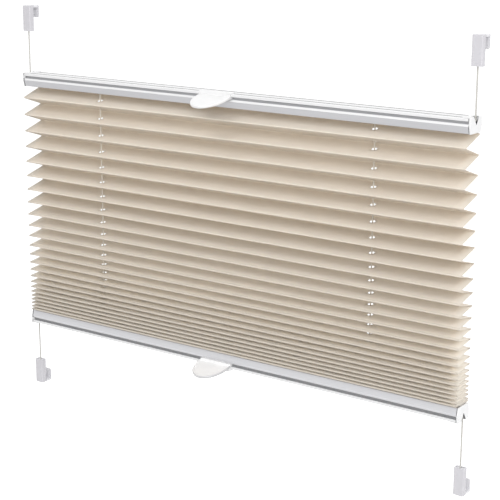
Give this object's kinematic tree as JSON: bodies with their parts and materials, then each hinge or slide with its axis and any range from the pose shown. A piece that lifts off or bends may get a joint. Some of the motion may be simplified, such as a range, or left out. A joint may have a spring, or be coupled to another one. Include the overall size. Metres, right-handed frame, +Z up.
{
  "type": "pleated blind",
  "caption": "Pleated fabric blind between two slim rails with end caps and finger tabs, moved by hand from top or bottom on tension cords held by hook brackets.",
  "frame": {"origin": "centre of the overall box: mid-width of the rails, mid-height between the hook seats, mid-depth from the tips of the finger tabs to the backs of the hooks", "axes": "+X along the rails to the right seen from the room, +Y towards the window, +Z up"},
  "size_m": [0.41, 0.0408, 0.3212],
  "materials": {
    "rail_aluminium": "satin anodised",
    "white_plastic": "semi-gloss moulded",
    "handle_plastic": "gloss moulded",
    "bracket_plastic": "semi-gloss moulded",
    "carrier_plastic": "matt extruded",
    "guide_plastic": "matt moulded",
    "shoe_plastic": "matt moulded",
    "ferrule": "pressed",
    "cord": "braided polyester",
    "pleated_fabric": "stiffened plain weave, crisp pleats"
  },
  "bodies": {
    "mounting": {"cord_left": "cord", "cord_right": "cord", "top_bracket_left": "bracket_plastic", "top_shoe_left": "shoe_plastic", "top_stop_left": "ferrule", "top_bracket_right": "bracket_plastic", "top_shoe_right": "shoe_plastic", "top_stop_right": "ferrule", "bottom_bracket_left": "bracket_plastic", "bottom_shoe_left": "shoe_plastic", "bottom_stop_left": "ferrule", "bottom_bracket_right": "bracket_plastic", "bottom_shoe_right": "shoe_plastic", "bottom_stop_right": "ferrule"},
    "upper_rail": {"upper_rail": "rail_aluminium", "upper_cap_left": "white_plastic", "upper_cap_right": "white_plastic", "upper_carrier": "carrier_plastic", "upper_guide_left": "guide_plastic", "upper_guide_right": "guide_plastic", "upper_handle": "handle_plastic", "fabric": "pleated_fabric"},
    "lower_rail": {"lower_rail": "rail_aluminium", "lower_cap_left": "white_plastic", "lower_cap_right": "white_plastic", "lower_carrier": "carrier_plastic", "lower_guide_left": "guide_plastic", "lower_guide_right": "guide_plastic", "lower_handle": "handle_plastic"}
  },
  "joints": [
    {"name": "upper_rail_slide", "type": "slide", "parent": "mounting", "child": "upper_rail", "axis": [0, 0, 1], "range_m": [-0.08, 0.032], "deforming": ["fabric", "cord_left", "cord_right"]},
    {"name": "lower_rail_slide", "type": "slide", "parent": "mounting", "child": "lower_rail", "axis": [0, 0, 1], "range_m": [-0.034, 0.08], "deforming": ["fabric", "cord_left", "cord_right"]}
  ]
}
